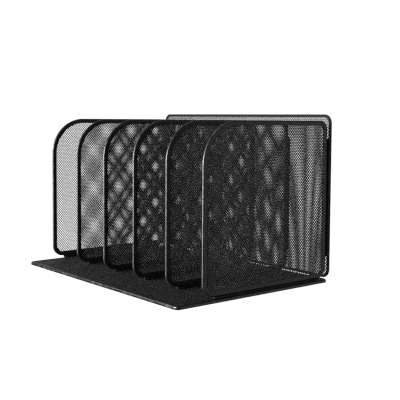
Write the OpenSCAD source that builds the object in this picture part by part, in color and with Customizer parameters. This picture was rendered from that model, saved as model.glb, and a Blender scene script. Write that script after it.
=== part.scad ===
// Desktop file sorter: a mesh base plate, six upright mesh dividers and a
// mesh back panel, each an expanded-metal sheet held in a steel edge hoop.
// The dividers stand on welded foot bars and are tied to the back panel by
// welded back bars. Nothing on it moves.
//
// Origin: centre of the base's footprint on the desk. +X right, +Y towards
// the back panel, +Z up. All sizes in millimetres.

/* [Base] */
// Width of the base plate, side to side
base_w = 336; // [336:1:342]
// Depth of the base plate, front to back
base_d = 240; // [225:1:270]
// Thickness of the base's edge hoop
base_t = 4.4; // [3.6:0.1:5.4]
// Width of the base's edge hoop, seen from above
base_band = 5; // [4.4:0.1:5]
// Radius of the base's corners, seen from above
base_r = 6; // [6:0.5:20]
// How far the base mesh lies below the hoop's top face
mesh_drop = 0.2; // [0:0.1:0.5]

/* [Dividers] */
// Distance from one divider to the next
pitch = 66.6; // [50:0.1:66.6]
// Position of the dividers' front ends, measured back from the base's front edge
div_setback = 35.7; // [15:0.1:60]
// Height of the dividers' top edge above the desk
div_top = 203; // [160:1:206]
// Height of the dividers' bottom edge above the desk
div_bottom = 7.4; // [6.5:0.1:9]
// Thickness of a divider's edge hoop
div_t = 3; // [2.4:0.1:4]
// Width of a divider's edge hoop, seen from the side
div_band = 6; // [5:0.5:8]
// Radius of a divider's large top front corner
div_r_top = 49.5; // [20:0.5:70]
// Radius of a divider's bottom front corner
div_r_front = 16; // [10:0.5:20]
// Radius of a divider's two back corners
div_r_back = 12; // [10:0.5:16]

/* [Back panel] */
// Width of the back panel
back_w = 342; // [342:1:380]
// Height of the back panel's top edge above the desk
back_top = 210.7; // [207:0.1:240]
// Height of the back panel's bottom edge above the desk
back_bottom = 5.5; // [5:0.1:7]
// Thickness of the back panel's edge hoop
back_t = 3; // [2.4:0.1:4]
// Width of the back panel's edge hoop, seen from the front
back_band = 3.5; // [3:0.1:6]
// Radius of the back panel's corners
back_r = 11; // [8:0.5:20]

/* [Mesh] */
// Overall thickness of a mesh sheet, over its knots
mesh_t = 0.8; // [0.6:0.1:0.9]
// How far a mesh sheet reaches into its hoop
mesh_grip = 2.6; // [1:0.1:2.8]

/* [Welded bars] */
// Width of the foot bars and back bars
bar_w = 2; // [1.5:0.1:2]
// Gap between a foot bar's end and the point where the divider's corner starts
bar_inset = 1.5; // [0:0.5:10]
// Distance from a divider's bottom edge to the low end of its back bar
back_bar_low = 26; // [14:1:60]
// Distance from a divider's top edge to the high end of its back bar
back_bar_high = 22; // [14:1:60]

/* [Hidden] */

$fn = 96;

// Derived places
div_front = -base_d / 2 + div_setback;
back_face = base_d / 2 - back_t;            // front face of the back panel's hoop
back_mesh_face = base_d / 2 - back_t / 2 - mesh_t / 2;
div_back = back_face - 2;                   // back ends of the dividers
div_l = div_back - div_front;
div_h = div_top - div_bottom;
mesh_top = base_t - mesh_drop;              // top of the base mesh
function div_x(i) = (i - 3.5) * pitch;      // i = 1 .. 6, left to right
function outer(i) = i == 1 || i == 6;       // these two stand on the base hoop itself

hoop_colour = [0.06, 0.06, 0.065];
mesh_colour = [0.12, 0.12, 0.13];
bar_colour = [0.03, 0.03, 0.035];

// ---- Edge hoops ----------------------------------------------------------

// Section of a hoop's folded strip: round outer edge, square inner edge and a
// slot along the middle of the inner edge for the mesh sheet. The outer edge
// lies at x = at, and the strip runs inwards along dir.
module strip_section(at, dir, w, t, slot_d, slot_t) {
    difference() {
        union() {
            translate([at + dir * t / 2, 0]) circle(r = t / 2);
            translate([dir > 0 ? at + t / 2 : at - w, -t / 2]) square([w - t / 2, t]);
        }
        translate([dir > 0 ? at + w - slot_d : at - w - 1, -slot_t / 2])
            square([slot_d + 1, slot_t]);
    }
}

// Section of the base's hoop: round outer edge, flat underside and an open
// ledge on top of the inner edge, where the mesh sheet lies.
module ledge_section(at, dir, w, t, ledge_w, ledge_h) {
    difference() {
        union() {
            translate([at + dir * t / 2, 0]) circle(r = t / 2);
            translate([dir > 0 ? at + t / 2 : at - w, -t / 2]) square([w - t / 2, t]);
        }
        translate([dir > 0 ? at + w - ledge_w : at - w - 1, t / 2 - ledge_h])
            square([ledge_w + 1, ledge_h + 1]);
    }
}

module section(kind, at, dir, w, t, a, b) {
    if (kind == "ledge") ledge_section(at, dir, w, t, a, b);
    else strip_section(at, dir, w, t, a, b);
}

// A straight run of the hoop, along +X from the origin, inwards to +Y.
module hoop_run(length, kind, w, t, a, b) {
    rotate([90, 0, 90]) linear_extrude(height = length) section(kind, 0, 1, w, t, a, b);
}

// A quarter turn of the hoop about the origin, from +X towards +Y.
module hoop_turn(r, kind, w, t, a, b) {
    rotate_extrude(angle = 90) section(kind, r, -1, w, t, a, b);
}

// A closed hoop around the rectangle [0,0] .. [l,h], with its own radius at
// each corner: r = [x0 y0, x1 y0, x1 y1, x0 y1].
module hoop(l, h, r, kind, w, t, a, b) {
    translate([r[0], 0, 0]) hoop_run(l - r[0] - r[1], kind, w, t, a, b);
    translate([l, r[1], 0]) rotate([0, 0, 90]) hoop_run(h - r[1] - r[2], kind, w, t, a, b);
    translate([l - r[2], h, 0]) rotate([0, 0, 180]) hoop_run(l - r[2] - r[3], kind, w, t, a, b);
    translate([0, h - r[3], 0]) rotate([0, 0, 270]) hoop_run(h - r[3] - r[0], kind, w, t, a, b);
    translate([r[0], r[0], 0]) rotate([0, 0, 180]) hoop_turn(r[0], kind, w, t, a, b);
    translate([l - r[1], r[1], 0]) rotate([0, 0, 270]) hoop_turn(r[1], kind, w, t, a, b);
    translate([l - r[2], h - r[2], 0]) hoop_turn(r[2], kind, w, t, a, b);
    translate([r[3], h - r[3], 0]) rotate([0, 0, 90]) hoop_turn(r[3], kind, w, t, a, b);
}

// ---- Mesh sheets ---------------------------------------------------------

// Outline of a rectangle with its own radius at each corner, inset by e.
function corner(cx, cy, r, a0, n = 20) =
    [for (k = [0:n]) [cx + r * cos(a0 + 90 * k / n), cy + r * sin(a0 + 90 * k / n)]];
function outline(l, h, r, e) = concat(
    corner(r[0], r[0], r[0] - e, 180),
    corner(l - r[1], r[1], r[1] - e, 270),
    corner(l - r[2], h - r[2], r[2] - e, 0),
    corner(r[3], h - r[3], r[3] - e, 90));

// A sheet of thickness mesh_t, centred on z = 0.
module sheet(l, h, r, e) {
    translate([0, 0, -mesh_t / 2]) linear_extrude(height = mesh_t) polygon(outline(l, h, r, e));
}

// ---- Base ----------------------------------------------------------------

module base_rim() {
    color(hoop_colour) translate([-base_w / 2, -base_d / 2, base_t / 2])
        hoop(base_w, base_d, [base_r, base_r, base_r, base_r], "ledge",
             base_band, base_t, mesh_grip + 0.2, mesh_t + mesh_drop);
}

module base_mesh() {
    color(mesh_colour) translate([-base_w / 2, -base_d / 2, mesh_top - mesh_t / 2])
        sheet(base_w, base_d, [base_r, base_r, base_r, base_r], base_band - mesh_grip);
}

// ---- Dividers ------------------------------------------------------------

div_radii = [div_r_front, div_r_back, div_r_back, div_r_top];

// Stands a flat piece up: its own x runs to the back, its own y runs up.
module stand_divider(i) {
    translate([div_x(i), div_front, div_bottom]) rotate([90, 0, 90]) children();
}

module divider_frame(i) {
    color(hoop_colour) stand_divider(i)
        hoop(div_l, div_h, div_radii, "strip", div_band, div_t, mesh_grip + 0.2, mesh_t);
}

module divider_mesh(i) {
    color(mesh_colour) stand_divider(i)
        sheet(div_l, div_h, div_radii, div_band - mesh_grip);
}

// ---- Back panel ----------------------------------------------------------

back_radii = [back_r, back_r, back_r, back_r];

module stand_back() {
    translate([-back_w / 2, base_d / 2 - back_t / 2, back_bottom]) rotate([90, 0, 0]) children();
}

module back_panel_frame() {
    color(hoop_colour) stand_back()
        hoop(back_w, back_top - back_bottom, back_radii, "strip", back_band, back_t,
             1.6, mesh_t);
}

module back_panel_mesh() {
    color(mesh_colour) stand_back()
        sheet(back_w, back_top - back_bottom, back_radii, back_band - 1.4);
}

// ---- Welded bars ---------------------------------------------------------

// A flat bar on edge, along +X from the origin, with its two low corners
// rounded off.
module bar(length, height, r) {
    translate([0, bar_w / 2, 0]) rotate([90, 0, 0]) linear_extrude(height = bar_w)
        union() {
            translate([r, 0]) square([length - 2 * r, height]);
            translate([0, r]) square([length, height - r]);
            translate([r, r]) circle(r = r);
            translate([length - r, r]) circle(r = r);
        }
}

// Between the divider's bottom edge and the base: on the mesh for the inner
// dividers, on the hoop itself for the two outer ones.
module foot_bar(i) {
    low = outer(i) ? base_t : mesh_top;
    front = div_front + div_r_front + bar_inset;
    back = div_back - div_r_back - bar_inset;
    color(bar_colour) translate([div_x(i), front, low]) rotate([0, 0, 90])
        bar(back - front, div_bottom - low, 1.4);
}

// Between the divider's back edge and the back panel's mesh, standing up.
module back_bar(i) {
    low = div_bottom + back_bar_low;
    high = div_top - back_bar_high;
    color(bar_colour) translate([div_x(i), back_mesh_face, low]) rotate([0, -90, 90])
        bar(high - low, back_mesh_face - div_back, 1.2);
}

// ---- Assembly ------------------------------------------------------------

base_rim();
base_mesh();
divider_frame(1);  // divider_frame_1
divider_frame(2);  // divider_frame_2
divider_frame(3);  // divider_frame_3
divider_frame(4);  // divider_frame_4
divider_frame(5);  // divider_frame_5
divider_frame(6);  // divider_frame_6
divider_mesh(1);  // divider_mesh_1
divider_mesh(2);  // divider_mesh_2
divider_mesh(3);  // divider_mesh_3
divider_mesh(4);  // divider_mesh_4
divider_mesh(5);  // divider_mesh_5
divider_mesh(6);  // divider_mesh_6
foot_bar(1);  // foot_bar_1
foot_bar(2);  // foot_bar_2
foot_bar(3);  // foot_bar_3
foot_bar(4);  // foot_bar_4
foot_bar(5);  // foot_bar_5
foot_bar(6);  // foot_bar_6
back_bar(1);  // back_bar_1
back_bar(2);  // back_bar_2
back_bar(3);  // back_bar_3
back_bar(4);  // back_bar_4
back_bar(5);  // back_bar_5
back_bar(6);  // back_bar_6
back_panel_frame();
back_panel_mesh();
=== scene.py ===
"""Looks for the mesh desk sorter: real open expanded metal, folded edge hoops, welded bars and black powder coat."""
import math

import bpy
import numpy as np
from mathutils import Matrix, Vector


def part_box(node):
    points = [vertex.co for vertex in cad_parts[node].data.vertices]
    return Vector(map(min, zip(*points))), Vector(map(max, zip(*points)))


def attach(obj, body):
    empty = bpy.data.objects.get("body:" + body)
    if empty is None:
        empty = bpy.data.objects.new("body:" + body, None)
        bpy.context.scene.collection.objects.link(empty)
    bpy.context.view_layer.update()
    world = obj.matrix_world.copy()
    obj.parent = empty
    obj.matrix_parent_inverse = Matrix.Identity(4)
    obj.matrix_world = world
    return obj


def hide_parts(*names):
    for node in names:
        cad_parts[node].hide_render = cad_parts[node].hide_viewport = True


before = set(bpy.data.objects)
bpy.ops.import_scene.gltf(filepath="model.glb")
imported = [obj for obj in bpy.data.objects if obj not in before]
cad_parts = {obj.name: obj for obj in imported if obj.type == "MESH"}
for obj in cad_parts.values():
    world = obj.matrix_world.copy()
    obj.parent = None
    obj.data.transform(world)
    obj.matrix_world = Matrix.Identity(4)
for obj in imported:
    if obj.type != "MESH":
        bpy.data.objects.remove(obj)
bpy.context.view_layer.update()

MM = 0.001


def box(node):
    lo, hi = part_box(node)
    return np.array(lo, float), np.array(hi, float)


# ---------------------------------------------------------------- mesh helpers


def build(name, co, quads, material, replaces=(), tris=None, smooth=True, edge=None):
    """A mesh object from corner positions in metres and quad corner lists."""
    quads = np.asarray(quads, np.int64).reshape(-1, 4)
    tris = np.zeros((0, 3), np.int64) if tris is None else np.asarray(tris, np.int64).reshape(-1, 3)
    me = bpy.data.meshes.new(name)
    me.vertices.add(len(co))
    me.vertices.foreach_set("co", np.asarray(co, np.float32).ravel())
    loops = np.concatenate([quads.ravel(), tris.ravel()]).astype(np.int32)
    starts = np.concatenate([
        np.arange(len(quads)) * 4,
        len(quads) * 4 + np.arange(len(tris)) * 3,
    ]).astype(np.int32)
    me.loops.add(len(loops))
    me.loops.foreach_set("vertex_index", loops)
    me.polygons.add(len(starts))
    me.polygons.foreach_set("loop_start", starts)
    me.update(calc_edges=True)
    me.validate()
    me.polygons.foreach_set("use_smooth", np.full(len(me.polygons), smooth))
    if edge is not None:  # how exposed each corner is to rubbing, 0 to 1
        at = me.attributes.new("wear", "FLOAT", "POINT")
        at.data.foreach_set("value", np.asarray(edge, np.float32))
    me.update()
    ob = bpy.data.objects.new(name, me)
    bpy.context.scene.collection.objects.link(ob)
    me.materials.append(material)
    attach(ob, "root")
    if replaces:
        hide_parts(*replaces)
    return ob


def volume(co, quads):
    a, b, c, d = (co[quads[:, k]] for k in range(4))
    return float((np.einsum("ij,ij->i", a, np.cross(b, c)) + np.einsum("ij,ij->i", a, np.cross(c, d))).sum() / 6)


def outward(co, quads):
    return quads if volume(co, quads) > 0 else quads[:, ::-1]


def plane(kind, where):
    """Turns (u, v, n) in mm on a sheet's own plane into the frame, in metres. n is the side that the sheet faces."""
    def to(u, v, n):
        u, v, n = np.broadcast_arrays(np.asarray(u, float), np.asarray(v, float), np.asarray(n, float))
        if kind == "x":      # a divider: u along Y, v along Z, n along +X
            p = np.stack([where + n, u, v], -1)
        elif kind == "y":    # the back panel: u along X, v along Z, n towards the front
            p = np.stack([u, where - n, v], -1)
        else:                # the base: u along X, v along Y, n up
            p = np.stack([u, v, where + n], -1)
        return p * MM
    return to


# ---------------------------------------------------------------- outlines


class Outline:
    """A rectangle u0..u1 by v0..v1 in mm with a radius at each corner: u0v0, u1v0, u1v1, u0v1."""

    def __init__(self, u0, u1, v0, v1, radii):
        self.u0, self.u1, self.v0, self.v1, self.radii = u0, u1, v0, v1, radii

    def distance(self, u, v, inset=0.0):
        """How far (u, v) is outside the outline moved in by inset. It is negative inside."""
        cu, cv = (self.u0 + self.u1) / 2, (self.v0 + self.v1) / 2
        hu, hv = (self.u1 - self.u0) / 2 - inset, (self.v1 - self.v0) / 2 - inset
        r = np.where(
            v < cv,
            np.where(u < cu, self.radii[0], self.radii[1]),
            np.where(u < cu, self.radii[3], self.radii[2]),
        ) - inset
        r = np.maximum(r, 0.05)
        qu, qv = np.abs(u - cu) - hu + r, np.abs(v - cv) - hv + r
        return np.minimum(np.maximum(qu, qv), 0) + np.hypot(np.maximum(qu, 0), np.maximum(qv, 0)) - r

    def path(self, step=9.0):
        """Points round the outline, which an inset moves in from, and the direction outward at each."""
        c = [
            (self.u0 + self.radii[0], self.v0 + self.radii[0], 180, self.radii[0]),
            (self.u1 - self.radii[1], self.v0 + self.radii[1], 270, self.radii[1]),
            (self.u1 - self.radii[2], self.v1 - self.radii[2], 0, self.radii[2]),
            (self.u0 + self.radii[3], self.v1 - self.radii[3], 90, self.radii[3]),
        ]
        pts, outs = [], []
        for k in range(4):
            cu, cv, a0, r = c[k]
            n = max(10, int(round(r * math.pi / 2 / 1.9)))
            for j in range(n + 1):
                a = math.radians(a0 + 90 * j / n)
                pts.append((cu + r * math.cos(a), cv + r * math.sin(a)))
                outs.append((math.cos(a), math.sin(a)))
            nu, nv, b0, nr = c[(k + 1) % 4]
            end = pts[-1]
            b = math.radians(a0 + 90)
            nxt = (nu + nr * math.cos(b), nv + nr * math.sin(b))
            length = math.hypot(nxt[0] - end[0], nxt[1] - end[1])
            m = max(2, int(round(length / step)))
            for j in range(1, m):
                t = j / m
                pts.append((end[0] + (nxt[0] - end[0]) * t, end[1] + (nxt[1] - end[1]) * t))
                outs.append(outs[-1] if j > 1 else (math.cos(b), math.sin(b)))
        return np.array(pts), np.array(outs)


def sines(seed, count, shortest, longest):
    """A smooth, repeatable wander over a sheet: a sum of long waves, about -1 to 1."""
    rng = np.random.default_rng(seed)
    lam = rng.uniform(shortest, longest, count)
    ang = rng.uniform(0, 2 * np.pi, count)
    ph = rng.uniform(0, 2 * np.pi, count)
    amp = rng.uniform(0.5, 1.0, count)
    amp /= np.sqrt((amp ** 2).sum() / 2) * 1.6

    def f(u, v):
        u, v = np.asarray(u, float), np.asarray(v, float)
        s = 0.0
        for k in range(count):
            s = s + amp[k] * np.sin(2 * np.pi * (u * np.cos(ang[k]) + v * np.sin(ang[k])) / lam[k] + ph[k])
        return s
    return f


# ---------------------------------------------------------------- expanded metal


def expanded_metal(region, u_span, v_span, pitch_u, pitch_v, strand, thick, seed, wander=0.01, bow=0.03):
    """A sheet of diamond mesh as one closed surface, cut off where region(u, v) is above 0.

    Knots sit pitch_u / pitch_v apart on a staggered grid. Each strand between two knots has a flat top and bottom and two
    walls, and smooth shading rounds its corners as the coating does. Returns (u, v, n) in mm and the quads."""
    ni = int(math.ceil((u_span[1] - u_span[0]) / pitch_u)) + 4
    nj = int(math.ceil((v_span[1] - v_span[0]) / pitch_v)) + 4
    gi, gj = np.meshgrid(np.arange(-3, ni), np.arange(-3, nj), indexing="ij")
    even = (gi + gj) % 2 == 0
    bend_u, bend_v, lift = sines(seed, 5, 60, 180), sines(seed + 1, 5, 60, 180), sines(seed + 2, 4, 70, 220)
    u = u_span[0] + gi * pitch_u
    v = v_span[0] + gj * pitch_v
    rng = np.random.default_rng(seed + 3)
    ju, jv = rng.normal(0, 0.004, u.shape), rng.normal(0, 0.004, u.shape)
    u, v = u + wander * bend_u(u, v) + ju, v + wander * bend_v(u, v) + jv
    inside = even & (region(u, v) < -0.12)
    index = np.full(u.shape, -1)
    index[inside] = np.arange(int(inside.sum()))
    ku, kv = u[inside], v[inside]
    inradius = pitch_u * pitch_v / math.hypot(pitch_u, pitch_v)
    shrink = (strand / 2) / inradius
    wide = 1 + 0.05 * rng.normal(0, 1, len(ku))
    eu, ev = pitch_u * shrink * wide, pitch_v * shrink * wide
    room = np.clip(-region(ku, kv) / 22.0, 0, 1)
    kn = bow * lift(ku, kv) * room * room * (3 - 2 * room)
    up = thick / 2 * (1 + 0.02 * rng.normal(0, 1, len(ku)))
    corners = ((eu, 0 * ev), (0 * eu, ev), (-eu, 0 * ev), (0 * eu, -ev))
    knots = np.stack(
        [np.stack([ku + du, kv + dv, kn + up], -1) for du, dv in corners]
        + [np.stack([ku + du, kv + dv, kn - up], -1) for du, dv in corners],
        1,
    )
    E, N, W, S = range(4)
    LOW = 4  # a corner's lower twin comes 4 further on
    opposite = {E: W, W: E, N: S, S: N}
    ways = {(1, 1): (E, N), (-1, 1): (N, W), (-1, -1): (W, S), (1, -1): (S, E)}
    first = np.arange(len(ku)) * 8
    quads = [
        np.stack([first + E, first + N, first + W, first + S], -1),
        np.stack([first + LOW + S, first + LOW + W, first + LOW + N, first + LOW + E], -1),
    ]
    extra = []
    count = len(ku) * 8
    gI, gJ = np.nonzero(inside)

    def strip(ar, al, br, bl, low_ar, low_al, low_br, low_bl):
        return [
            np.stack([ar, br, bl, al], -1),
            np.stack([low_al, low_bl, low_br, low_ar], -1),
            np.stack([ar, low_ar, low_br, br], -1),
            np.stack([al, bl, low_bl, low_al], -1),
        ]

    for (di, dj), (right, left) in ways.items():
        n = index[gI, gJ]
        m = index[gI + di, gJ + dj]
        if dj > 0:  # whole strands, once each
            a, b = n[m >= 0] * 8, m[m >= 0] * 8
            fr, fl = opposite[left], opposite[right]
            quads += strip(a + right, a + left, b + fr, b + fl, a + right + LOW, a + left + LOW, b + fr + LOW, b + fl + LOW)
        cut = m < 0  # a strand that leaves the sheet's outline ends there
        a = n[cut] * 8
        i, j = gI[cut], gJ[cut]
        p = np.stack([u[i, j], v[i, j]], -1)
        d = np.stack([u[i + di, j + dj], v[i + di, j + dj]], -1) - p
        lo, hi = np.zeros(len(p)), np.ones(len(p))
        for _ in range(14):
            mid = (lo + hi) / 2
            q = p + d * mid[:, None]
            far = region(q[:, 0], q[:, 1]) > 0
            hi, lo = np.where(far, mid, hi), np.where(far, lo, mid)
        q = p + d * np.maximum(lo, 0.06)[:, None]
        side = np.stack([d[:, 1], -d[:, 0]], -1)
        side *= (strand / 2) / np.linalg.norm(side, axis=1)[:, None]
        nn = kn[n[cut]]
        end = np.stack([
            np.stack([q[:, 0] + sg * side[:, 0], q[:, 1] + sg * side[:, 1], nn + h * thick / 2], -1)
            for h in (1, -1) for sg in (1, -1)
        ], 1)
        b = count + np.arange(len(p)) * 4
        count += 4 * len(p)
        extra.append(end.reshape(-1, 3))
        quads += strip(a + right, a + left, b, b + 1, a + right + LOW, a + left + LOW, b + 2, b + 3)
        quads += [np.stack([b, b + 2, b + 3, b + 1], -1)]
    uvn = np.concatenate([knots.reshape(-1, 3)] + extra)
    return uvn, np.concatenate(quads)


# ---------------------------------------------------------------- swept strip


def arc(cu, cn, r, a0, a1, n):
    return [(cu + r * math.cos(math.radians(a0 + (a1 - a0) * k / n)), cn + r * math.sin(math.radians(a0 + (a1 - a0) * k / n))) for k in range(n + 1)]


def folded_strip(band, half, slot, depth):
    """Section of a strip folded round the mesh's edge, as (inset, n) in mm. The fold is round, and the two lips close on the mesh."""
    lip, low = 0.28, 0.06
    s = arc(half, 0, half, 90, 270, 12)
    inner = band - lip
    s += [(half + 0.25, -half), (inner - 0.5, -half + low * 0.6)]
    s += arc(inner, -half + low + lip, lip, 270, 360, 3)
    s += [(band, -slot / 2 - 0.16), (band - 0.12, -slot / 2), (band - 0.5, -slot / 2), (band - depth + 0.15, -slot / 2), (band - depth, -slot / 2 + 0.15),
          (band - depth, slot / 2 - 0.15), (band - depth + 0.15, slot / 2), (band - 0.5, slot / 2), (band - 0.12, slot / 2), (band, slot / 2 + 0.16)]
    s += arc(inner, half - low - lip, lip, 0, 90, 3)
    s += [(inner - 0.5, half - low * 0.6), (half + 0.25, half)]
    return np.array(s)


def rim_strip(band, height, ledge, start):
    """Section of the base's edge strip: rounded outside, flat underneath, and a ledge inside that the mesh lies on."""
    r, low = height / 2, 0.7
    s = arc(r, r, r, 90, 180, 8) + arc(low, low, low, 180, 270, 5)
    s += [(r + 0.3, 0), (band - 0.35, 0)] + arc(band - 0.3, 0.3, 0.3, 270, 360, 3)[1:]
    s += arc(band - 0.3, ledge - 0.3, 0.3, 0, 90, 3)
    s += [(band - 0.6, ledge), (start + 0.35, ledge), (start + 0.08, ledge + 0.08), (start, ledge + 0.3)]
    s += arc(start - 0.3, height - 0.3, 0.3, 0, 90, 3)[:-1]
    return np.array(s)


def sweep(outline, section, to, seed, wave=0.05):
    """The section carried once round the outline. A wander of up to `wave` mm along n is worked out, but it is
    multiplied by zero, so the strip does not wander.
    """
    pts, outs = outline.path()
    keep = np.linalg.norm(pts - np.roll(pts, 1, 0), axis=1) > 0.05
    pts, outs = pts[keep], outs[keep]
    m, k = len(pts), len(section)
    f = sines(seed, 4, 60, 240)
    off = wave * f(pts[:, 0], pts[:, 1])
    u = pts[:, None, 0] - outs[:, None, 0] * section[None, :, 0]
    v = pts[:, None, 1] - outs[:, None, 1] * section[None, :, 0]
    inner = np.clip(section[None, :, 0] / section[:, 0].max(), 0, 1)
    n = section[None, :, 1] * (1 - 0.0) + 0 * u + off[:, None] * 0 * inner
    co = to(u, v, n).reshape(-1, 3)
    a = np.arange(m)[:, None] * k + np.arange(k)[None, :]
    b = np.roll(a, -1, 0)
    c, d = np.roll(b, -1, 1), np.roll(a, -1, 1)
    quads = outward(co, np.stack([a, b, c, d], -1).reshape(-1, 4))
    # the outer fold and the lips' inner edges rub first
    wear = np.exp(-((section[:, 0]) / 0.7) ** 2) + 0.5 * np.exp(-((section[:, 0] - section[:, 0].max()) / 0.35) ** 2)
    return co, quads, np.broadcast_to(wear[None, :], (m, k)).ravel()


# ---------------------------------------------------------------- bars and welds


def rounded_bar(length_pts, width, edge):
    """A flat bar whose side outline is given as (along, height) in mm, `width` thick, with its long edges rounded by `edge`."""
    pts = np.array(length_pts)
    nxt, prv = np.roll(pts, -1, 0), np.roll(pts, 1, 0)
    t1, t0 = nxt - pts, pts - prv
    t1 /= np.linalg.norm(t1, axis=1)[:, None]
    t0 /= np.linalg.norm(t0, axis=1)[:, None]
    n = np.stack([t0[:, 1] + t1[:, 1], -(t0[:, 0] + t1[:, 0])], -1)
    n /= np.linalg.norm(n, axis=1)[:, None]
    cosine = np.clip((n * np.stack([t1[:, 1], -t1[:, 0]], -1)).sum(1), 0.5, 1)
    n = n / cosine[:, None]
    rings = []
    steps = 4
    for side in (-1, 1):
        for k in range(steps + 1):
            a = math.radians(90 * k / steps)
            inset, out = (edge * (1 - math.cos(a)), width / 2 - edge * (1 - math.sin(a))) if side > 0 else (edge * (1 - math.sin(a)), width / 2 - edge * (1 - math.cos(a)))
            rings.append((inset, side * out))
    rings = [r for i, r in enumerate(rings) if i == 0 or r != rings[i - 1]]
    rows = [np.concatenate([pts - n * inset, np.full((len(pts), 1), x)], 1) for inset, x in rings]
    k, m = len(rows), len(pts)
    co = np.concatenate(rows)
    quads = []
    for r in range(k - 1):
        a = r * m + np.arange(m)
        b = r * m + np.roll(np.arange(m), -1)
        quads.append(np.stack([a, b, b + m, a + m], -1))
    return co, np.concatenate(quads), k, m


def cap_fan(co, ring, centre):
    """Triangles that close a ring of corners with one more corner in its middle."""
    co = np.concatenate([co, np.asarray(centre, float).reshape(1, 3)])
    c = len(co) - 1
    return co, np.stack([ring, np.roll(ring, -1), np.full(len(ring), c)], -1)


def bar_piece(name, outline_pts, width, to, replaces, welds=(), edge=0.32):
    """A flat bar and its weld beads: its outline in its own plane, and its thickness across it. Strips of quads close both
    flat sides."""
    co, quads, k, m = rounded_bar(outline_pts, width, edge)
    half = m // 2
    caps = []
    for row, flip in ((0, True), (k - 1, False)):
        ring = row * m + np.arange(m)
        # the outline is listed so that point i and point m-1-i face each other across the bar
        q = np.stack([ring[: half - 1], ring[1:half], ring[::-1][1:half], ring[::-1][: half - 1]], -1)
        caps.append(q[:, ::-1] if flip else q)
    quads = np.concatenate([quads] + caps)
    xyz = to(co[:, 0], co[:, 1], co[:, 2])
    if volume(xyz, quads) < 0:
        quads = quads[:, ::-1]
    wear = np.clip(1.2 - (width / 2 - np.abs(co[:, 2])) / 0.4, 0, 1) * 0.5
    all_co, all_quads, all_tris, start = [xyz], [quads], [], len(xyz)
    for k, (a, b, radius) in enumerate(welds):
        ends = to(*np.array([a, b], float).T)
        bco, bq, bt = bead(ends, radius * MM, len(name) * 7 + k + int(1000 * abs(xyz[0, 0])))
        all_co.append(bco)
        all_quads.append(bq + start)
        all_tris.append(bt + start)
        start += len(bco)
    wear = np.concatenate([wear, np.zeros(start - len(xyz))])
    tris = np.concatenate(all_tris) if all_tris else None
    return build(name, np.concatenate(all_co), np.concatenate(all_quads), BAR, replaces, tris=tris, edge=wear)


def bead(points, radius, seed):
    """A small weld bead along a line of points in metres, closed at both ends, with the ripples of a hand-held torch."""
    rng = np.random.default_rng(seed)
    p = np.array(points, float)
    d = p[-1] - p[0]
    length = np.linalg.norm(d)
    d /= length
    a = np.cross(d, [0.31, 0.52, 0.79]); a /= np.linalg.norm(a)
    b = np.cross(d, a)
    rings, sides = 11, 10
    co = []
    for k in range(rings):
        t = k / (rings - 1)
        r = radius * math.sqrt(max(1 - (2 * t - 1) ** 4, 0.02)) * (1 + 0.10 * math.sin(2 * math.pi * 3.2 * t + seed) + 0.03 * rng.normal())
        c = p[0] + d * length * t
        for s in range(sides):
            w = 2 * math.pi * s / sides
            co.append(c + (a * math.cos(w) + b * math.sin(w)) * r)
    co = np.array(co)
    quads = []
    for k in range(rings - 1):
        i = k * sides + np.arange(sides)
        j = k * sides + (np.arange(sides) + 1) % sides
        quads.append(np.stack([i, j, j + sides, i + sides], -1))
    quads = np.concatenate(quads)
    co, t0 = cap_fan(co, np.arange(sides), p[0] - d * radius * 0.3)
    co, t1 = cap_fan(co, (rings - 1) * sides + np.arange(sides), p[-1] + d * radius * 0.3)
    if volume(co, quads) < 0:
        return co, quads[:, ::-1], np.concatenate([t0, t1[:, ::-1]])
    return co, quads, np.concatenate([t0[:, ::-1], t1])


# ---------------------------------------------------------------- materials


class Nodes:
    def __init__(self, mat):
        mat.use_nodes = True
        self.nt = mat.node_tree
        self.nt.nodes.clear()

    def add(self, kind, **settings):
        n = self.nt.nodes.new(kind)
        for k, v in settings.items():
            setattr(n, k, v)
        return n

    def link(self, a, b):
        self.nt.links.new(a, b)


def ramp(g, source, stops):
    r = g.add("ShaderNodeValToRGB")
    e = r.color_ramp.elements
    while len(e) > 1:
        e.remove(e[-1])
    e[0].position, e[0].color = stops[0][0], (*stops[0][1], 1)
    for pos, col in stops[1:]:
        x = e.new(pos)
        x.color = (*col, 1)
    g.link(source, r.inputs["Fac"])
    return r.outputs["Color"]


def noise(g, coord, scale, detail=2.0, rough=0.5):
    n = g.add("ShaderNodeTexNoise")
    n.inputs["Scale"].default_value = scale
    n.inputs["Detail"].default_value = detail
    n.inputs["Roughness"].default_value = rough
    g.link(coord, n.inputs["Vector"])
    return n.outputs["Fac"]


def spread(g, source, lo, hi, out_lo, out_hi):
    m = g.add("ShaderNodeMapRange")
    for k, v in (("From Min", lo), ("From Max", hi), ("To Min", out_lo), ("To Max", out_hi)):
        m.inputs[k].default_value = v
    g.link(source, m.inputs["Value"])
    return m.outputs["Result"]


def maths(g, op, a, b, clamp=False):
    m = g.add("ShaderNodeMath", operation=op)
    m.use_clamp = clamp
    for k, x in enumerate((a, b)):
        if isinstance(x, (int, float)):
            m.inputs[k].default_value = x
        else:
            g.link(x, m.inputs[k])
    return m.outputs[0]


def mix(g, fac, a, b):
    m = g.add("ShaderNodeMix", data_type="RGBA")
    g.link(fac, m.inputs["Factor"])
    for k, x in ((6, a), (7, b)):
        if isinstance(x, tuple):
            m.inputs[k].default_value = (*x, 1)
        else:
            g.link(x, m.inputs[k])
    return m.outputs[2]


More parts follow.
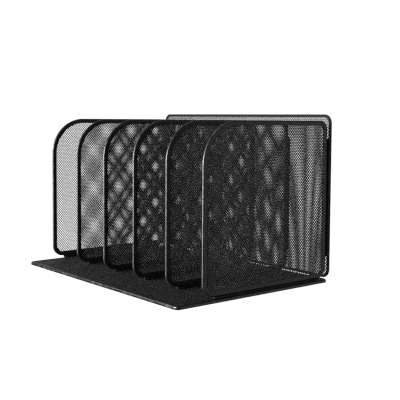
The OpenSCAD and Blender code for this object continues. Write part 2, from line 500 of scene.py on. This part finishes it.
def powder_coat(name, dark, light, rough, peel, grain, specular=0.42, worn=(0.045, 0.045, 0.047), wear=0.6):
    """Black powder coat: orange peel about 0.9 mm apart, fine grain, faint mottling, and a little rubbing on exposed edges."""
    mat = bpy.data.materials.new(name)
    g = Nodes(mat)
    out = g.add("ShaderNodeOutputMaterial")
    p = g.add("ShaderNodeBsdfPrincipled")
    g.link(p.outputs[0], out.inputs["Surface"])
    at = g.add("ShaderNodeTexCoord").outputs["Object"]
    broad = noise(g, at, 38.0, 3.0)
    specks = noise(g, at, 2600.0, 1.0)
    tone = maths(g, "ADD", maths(g, "MULTIPLY", broad, 0.7), maths(g, "MULTIPLY", specks, 0.3))
    base = ramp(g, tone, [(0.32, dark), (0.68, light)])
    rub = g.add("ShaderNodeAttribute", attribute_name="wear").outputs["Fac"]
    patchy = spread(g, noise(g, at, 130.0, 4.0, 0.65), 0.50, 0.72, 0.0, 1.0)
    amount = maths(g, "MULTIPLY", maths(g, "MULTIPLY", rub, patchy, True), wear, True)
    g.link(mix(g, amount, base, worn), p.inputs["Base Color"])
    r = spread(g, noise(g, at, 90.0, 3.0, 0.6), 0.3, 0.7, rough - 0.05, rough + 0.06)
    r = maths(g, "SUBTRACT", r, maths(g, "MULTIPLY", amount, 0.10))
    g.link(r, p.inputs["Roughness"])
    p.inputs["IOR"].default_value = 1.5
    p.inputs["Specular IOR Level"].default_value = specular
    p.inputs["Metallic"].default_value = 0.0
    skin = maths(g, "ADD", maths(g, "MULTIPLY", noise(g, at, 1100.0, 2.0), peel), maths(g, "MULTIPLY", noise(g, at, 5200.0, 2.0, 0.6), grain))
    b = g.add("ShaderNodeBump")
    b.inputs["Strength"].default_value = 0.55
    b.inputs["Distance"].default_value = 0.00006
    g.link(skin, b.inputs["Height"])
    g.link(b.outputs[0], p.inputs["Normal"])
    return mat


HOOP = powder_coat("powder_coat_strip", (0.0012, 0.0012, 0.0013), (0.0026, 0.0026, 0.0028), 0.42, 0.7, 0.5, specular=0.30)
RIM = powder_coat("powder_coat_rim", (0.0012, 0.0012, 0.0013), (0.0026, 0.0026, 0.0028), 0.30, 0.7, 0.5, specular=0.30)
BAR = powder_coat("powder_coat_bar", (0.0022, 0.0022, 0.0024), (0.0042, 0.0042, 0.0045), 0.60, 0.8, 0.6, specular=0.12)
MESH = powder_coat("powder_coat_mesh", (0.0055, 0.0055, 0.0058), (0.0100, 0.0100, 0.0105), 0.50, 0.4, 0.2, specular=0.29, wear=0.0)
# the base sheet's coat is a darker copy of the mesh's powder coat: painted shade for the sheet that lies low between
# the dividers
BASE_COAT_WITH_PAINTED_SHADE = powder_coat("powder_coat_base_painted_shade", (0.0022, 0.0022, 0.0023), (0.0040, 0.0040, 0.0042), 0.54, 0.4, 0.2, specular=0.18, wear=0.0)
BACK = powder_coat("powder_coat_back", (0.0012, 0.0012, 0.0013), (0.0024, 0.0024, 0.0025), 0.55, 0.6, 0.5, specular=0.05)

# ---------------------------------------------------------------- camera, floor and light

CAM_AT = (0.82134, -0.62473, 0.20536)
AZ, PITCH, ROLL, FOCAL, PPY = 50.658, 3.794, 0.362, 785.63, 170.0


def make_camera():
    a, th, r = (math.radians(x) for x in (AZ, PITCH, ROLL))
    fw = Vector((-math.sin(a) * math.cos(th), math.cos(a) * math.cos(th), -math.sin(th)))
    rt = Vector((math.cos(a), math.sin(a), 0.0))
    up = rt.cross(fw)
    rt2 = rt * math.cos(r) + up * math.sin(r)
    up2 = up * math.cos(r) - rt * math.sin(r)
    m = Matrix.Identity(4)
    for k, col in enumerate((rt2, up2, -fw)):
        for j in range(3):
            m[j][k] = col[j]
    m.translation = Vector(CAM_AT)
    data = bpy.data.cameras.new("camera")
    data.sensor_fit = "HORIZONTAL"
    data.sensor_width = 36.0
    data.lens = FOCAL * 36.0 / 400.0
    data.shift_y = -(200.0 - PPY) / 400.0
    data.clip_start, data.clip_end = 0.05, 60.0
    cam = bpy.data.objects.new("camera", data)
    cam.matrix_world = m
    bpy.context.scene.collection.objects.link(cam)
    bpy.context.scene.camera = cam
    return cam


def make_floor():
    half, n = 7.0, 8
    g = np.linspace(-half, half, n + 1)
    x, y = np.meshgrid(g, g, indexing="ij")
    co = np.stack([x, y, np.full_like(x, -0.00004)], -1).reshape(-1, 3)
    i, j = np.meshgrid(np.arange(n), np.arange(n), indexing="ij")
    a = (i * (n + 1) + j).ravel()
    quads = np.stack([a, a + n + 1, a + n + 2, a + 1], -1)
    me = bpy.data.meshes.new("floor")
    me.from_pydata(co.tolist(), [], quads.tolist())
    mat = bpy.data.materials.new("floor_white")
    g = Nodes(mat)
    out = g.add("ShaderNodeOutputMaterial")
    p = g.add("ShaderNodeBsdfPrincipled")
    g.link(p.outputs[0], out.inputs["Surface"])
    at = g.add("ShaderNodeTexCoord").outputs["Object"]
    g.link(ramp(g, noise(g, at, 6.0, 3.0), [(0.3, (0.052, 0.052, 0.052)), (0.7, (0.060, 0.060, 0.060))]), p.inputs["Base Color"])
    p.inputs["Roughness"].default_value = 0.9
    p.inputs["Specular IOR Level"].default_value = 0.0
    p.inputs["Emission Color"].default_value = (1, 1, 1, 1)
    # painted shadow: the floor's glow is turned down by half inside the base's footprint, standing in for the shade
    # under the base
    lo, hi = box("base_rim")
    where = g.add("ShaderNodeSeparateXYZ")
    g.link(at, where.inputs[0])
    painted_shadow = 1.0
    for k in (0, 1):
        reach = float(hi[k] - lo[k]) / 2
        off = maths(g, "ABSOLUTE", maths(g, "SUBTRACT", where.outputs[k], float(lo[k] + hi[k]) / 2), 0.0)
        painted_shadow = maths(g, "MULTIPLY", spread(g, off, reach - 0.014, reach - 0.003, 1.0, 0.0), painted_shadow)
    g.link(maths(g, "SUBTRACT", 0.985, maths(g, "MULTIPLY", painted_shadow, 0.5)), p.inputs["Emission Strength"])
    me.materials.append(mat)
    floor = bpy.data.objects.new("floor", me)
    bpy.context.scene.collection.objects.link(floor)
    floor.visible_glossy = False     # the coat doesn't mirror the floor
    floor.visible_diffuse = False


def make_light(name, at, aim, size, size_y, radiance):
    data = bpy.data.lights.new(name, "AREA")
    data.shape = "RECTANGLE"
    data.size, data.size_y = size, size_y
    data.energy = radiance * math.pi * size * size_y
    ob = bpy.data.objects.new(name, data)
    ob.location = at
    ob.visible_camera = False
    ob.rotation_mode = "QUATERNION"
    ob.rotation_quaternion = (Vector(aim) - Vector(at)).to_track_quat("-Z", "Y")
    bpy.context.scene.collection.objects.link(ob)
    return ob


def make_world():
    """White to look at. As light it is a dim room: a soft ceiling, a pale wall at the back left, and little from below."""
    w = bpy.data.worlds.new("studio")
    bpy.context.scene.world = w
    w.use_nodes = True
    nt = w.node_tree
    nt.nodes.clear()
    out = nt.nodes.new("ShaderNodeOutputWorld")
    seen, light = nt.nodes.new("ShaderNodeBackground"), nt.nodes.new("ShaderNodeBackground")
    seen.inputs["Color"].default_value = (1, 1, 1, 1)
    seen.inputs["Strength"].default_value = 1.02
    at = nt.nodes.new("ShaderNodeTexCoord")

    def level(direction, lo, hi, low, high):
        """A strength that goes from low to high as the ray turns towards `direction`."""
        dot = nt.nodes.new("ShaderNodeVectorMath")
        dot.operation = "DOT_PRODUCT"
        nt.links.new(at.outputs["Generated"], dot.inputs[0])
        dot.inputs[1].default_value = Vector(direction).normalized()
        m = nt.nodes.new("ShaderNodeMapRange")
        m.interpolation_type = "SMOOTHSTEP"
        for k, v in (("From Min", lo), ("From Max", hi), ("To Min", low), ("To Max", high)):
            m.inputs[k].default_value = v
        nt.links.new(dot.outputs["Value"], m.inputs["Value"])
        return m.outputs["Result"]

    def add(x, y):
        m = nt.nodes.new("ShaderNodeMath")
        m.operation = "ADD"
        nt.links.new(x, m.inputs[0])
        nt.links.new(y, m.inputs[1])
        return m.outputs[0]

    total = add(level((0, 0, 1), *CEILING), level((0, 0, 1), *ROOM))
    total = add(total, level((-0.75, 0.62, 0.22), *WALL))
    total = add(total, level((0.80, 0.60, -0.10), *SIDE))
    total = add(total, level((-0.79, 0.05, -0.61), *BELOW))
    nt.links.new(total, light.inputs["Strength"])
    path = nt.nodes.new("ShaderNodeLightPath")
    mixer = nt.nodes.new("ShaderNodeMixShader")
    nt.links.new(path.outputs["Is Camera Ray"], mixer.inputs["Fac"])
    nt.links.new(light.outputs[0], mixer.inputs[1])
    nt.links.new(seen.outputs[0], mixer.inputs[2])
    nt.links.new(mixer.outputs[0], out.inputs["Surface"])


CEILING = (0.35, 0.85, 0.0, 0.38)
ROOM = (-0.35, 0.10, 0.02, 0.11)
WALL = (0.80, 0.96, 0.0, 1.10)
SIDE = (0.78, 0.97, 0.0, 1.20)
BELOW = (0.80, 0.96, 0.0, 0.50)
make_camera()
make_floor()
make_world()
make_light("key", (-0.18, -1.57, 0.33), (0.02, -0.08, 0.12), 1.25, 0.62, 92.0)
make_light("left", (-1.23, -1.02, 0.58), (0.0, -0.10, 0.02), 0.5, 0.3, 7.0)
cycles = bpy.context.scene.cycles
cycles.use_denoising = False      # a denoiser smears the fine mesh
cycles.filter_width = 1.3
vs = bpy.context.scene.view_settings
vs.view_transform = "Standard"
vs.look = "None"
vs.exposure = 0.0
vs.gamma = 1.0

# ---------------------------------------------------------------- the pieces

STRAND, THICK = 0.50, 0.60        # across a strand, and through the sheet
BACK_STRAND = 0.94
CELL_U, CELL_V = 3.057, 3.770     # one repeat of the dividers' diamond pattern, across and up
BACK_U, BACK_V = 3.287, 3.984     # the back panel's is a little coarser
# Each sheet is cut from its roll at its own place in the pattern: where a knot lies, in mm of the frame.
CUT = ((0.0, 0.0), (0.29, 1.36), (2.32, 0.74), (1.17, 0.25), (1.68, 1.50), (0.71, 0.91))
BACK_CUT = (2.14, 2.06)


def first_knot(low, knot, cell):
    """The first place at or after `low` that is a whole number of repeats from `knot`."""
    return knot + math.ceil((low - knot) / cell) * cell


# dividers
for k in range(1, 7):
    lo, hi = box(f"divider_frame_{k}")
    lo, hi = lo / MM, hi / MM
    xc = (lo[0] + hi[0]) / 2
    out = Outline(lo[1], hi[1], lo[2], hi[2], (16.0, 12.0, 12.0, 49.5))
    to = plane("x", xc)
    section = folded_strip(6.0, (hi[0] - lo[0]) / 2, 0.8, 2.8)
    co, quads, wear = sweep(out, section, to, 10 + k)
    build(f"divider_hoop_{k}", co, quads, HOOP, [f"divider_frame_{k}"], edge=wear)
    span_u = (first_knot(lo[1] + 1.0, CUT[k - 1][0], CELL_U), hi[1] - 2.0)
    span_v = (first_knot(lo[2] + 1.0, CUT[k - 1][1], CELL_V), hi[2] - 2.0)
    uvn, q = expanded_metal(lambda u, v: out.distance(u, v, 3.5), span_u, span_v, CELL_U / 2, CELL_V / 2, STRAND, THICK, 100 + 7 * k)
    build(f"divider_sheet_{k}", to(*uvn.T), q, MESH, [f"divider_mesh_{k}"])
    print("divider", k, "faces", len(q) * 2)

# base
lo, hi = (v / MM for v in box("base_rim"))
mlo, mhi = (v / MM for v in box("base_mesh"))
out = Outline(lo[0], hi[0], lo[1], hi[1], (6.0,) * 4)
co, quads, wear = sweep(out, rim_strip(5.0, hi[2], mlo[2], 2.2), plane("z", 0.0), 3)
build("base_hoop", co, quads, RIM, ["base_rim"], edge=wear)
seam = float((box("foot_bar_3")[0][0] + box("foot_bar_3")[1][0]) / 2 / MM)
inset = mlo[0] - lo[0] + 0.05
base_to = plane("z", (mlo[2] + mhi[2]) / 2)
for side, name in ((-1, "base_sheet_left"), (1, "base_sheet_right")):
    region = lambda u, v: np.maximum(out.distance(u, v, inset), side * (seam - u))
    uvn, q = expanded_metal(region, (mlo[0] + 0.3, mhi[0]), (mlo[1] + 0.3, mhi[1]), CELL_U / 2, CELL_V / 2, STRAND, THICK, 501, bow=0.0)
    build(name, base_to(*uvn.T), q, BASE_COAT_WITH_PAINTED_SHADE, ["base_mesh"])
    print(name, "faces", len(q) * 2)

# back panel
lo, hi = (v / MM for v in box("back_panel_frame"))
mlo, mhi = (v / MM for v in box("back_panel_mesh"))
out = Outline(lo[0], hi[0], lo[2], hi[2], (11.0,) * 4)
yc = (lo[1] + hi[1]) / 2
co, quads, wear = sweep(out, folded_strip(3.5, (hi[1] - lo[1]) / 2, 0.8, 1.6), plane("y", yc), 4)
build("back_hoop", co, quads, BACK, ["back_panel_frame"], edge=wear)
# two pieces of one pattern, which meet behind divider 3
seam = float((box("back_bar_3")[0][0] + box("back_bar_3")[1][0]) / 2 / MM)
span_u = (first_knot(lo[0] + 1.0, BACK_CUT[0], BACK_U), hi[0])
span_v = (first_knot(lo[2] + 1.0, BACK_CUT[1], BACK_V), hi[2])
for side, name in ((-1, "back_sheet_left"), (1, "back_sheet_right")):
    region = lambda u, v: np.maximum(out.distance(u, v, 2.15), side * (seam - u))
    uvn, q = expanded_metal(region, span_u, span_v, BACK_U / 2, BACK_V / 2, BACK_STRAND, THICK, 601)
    build(name, plane("y", yc)(*uvn.T), q, MESH, ["back_panel_mesh"])
    print(name, "faces", len(q) * 2)


# bars
def along(a, b, n):
    return [a + (b - a) * k / n for k in range(n + 1)]


def bar_outline(a, b, low, high, radius, end="low"):
    """A long bar's side outline from a to b, with both its corners on one edge rounded. Point i faces point m-1-i."""
    r = radius
    lowside = [(a + r - r * math.cos(math.radians(90 * k / 5)), low + r - r * math.sin(math.radians(90 * k / 5))) for k in range(6)]
    lowside += [(x, low) for x in along(a + r, b - r, 16)[1:-1]]
    lowside += [(b - r + r * math.sin(math.radians(90 * k / 5)), low + r - r * math.cos(math.radians(90 * k / 5))) for k in range(6)]
    highside = [(x, high) for x, _ in lowside][::-1]
    return lowside + highside


for k in range(1, 7):
    lo, hi = (v / MM for v in box(f"foot_bar_{k}"))
    xc = (lo[0] + hi[0]) / 2
    pts = bar_outline(lo[1], hi[1], lo[2], hi[2], 1.4)
    w = (hi[0] - lo[0]) / 2
    welds = []
    for y in (lo[1] + 6.0, (lo[1] + hi[1]) / 2, hi[1] - 6.0):
        for side in (-1, 1):
            welds.append(((y - 3.2, hi[2] - 0.25, side * (w - 0.15)), (y + 3.2, hi[2] - 0.25, side * (w - 0.15)), 0.62))
            welds.append(((y - 3.2, lo[2] + 0.45, side * (w - 0.05)), (y + 3.2, lo[2] + 0.45, side * (w - 0.05)), 0.70))
    bar_piece(f"foot_strip_{k}", pts, 2 * w, plane("x", xc), [f"foot_bar_{k}"], welds)
    lo, hi = (v / MM for v in box(f"back_bar_{k}"))
    # upright: the outline runs along Z, and its rounded edge faces the back panel
    pts = bar_outline(lo[2], hi[2], -hi[1], -lo[1], 1.2)

    def upright(a, h, n, xc=xc):
        return np.stack([xc + n, -h, a], -1) * MM

    w = (hi[0] - lo[0]) / 2
    welds = []
    for z in (lo[2] + 6.0, (lo[2] + hi[2]) / 2, hi[2] - 6.0):
        for side in (-1, 1):
            welds.append(((z - 3.2, -lo[1] - 0.25, side * (w - 0.15)), (z + 3.2, -lo[1] - 0.25, side * (w - 0.15)), 0.62))
            welds.append(((z - 3.2, -hi[1] + 0.40, side * (w - 0.15)), (z + 3.2, -hi[1] + 0.40, side * (w - 0.15)), 0.62))
    bar_piece(f"back_strip_{k}", pts, 2 * w, upright, [f"back_bar_{k}"], welds)
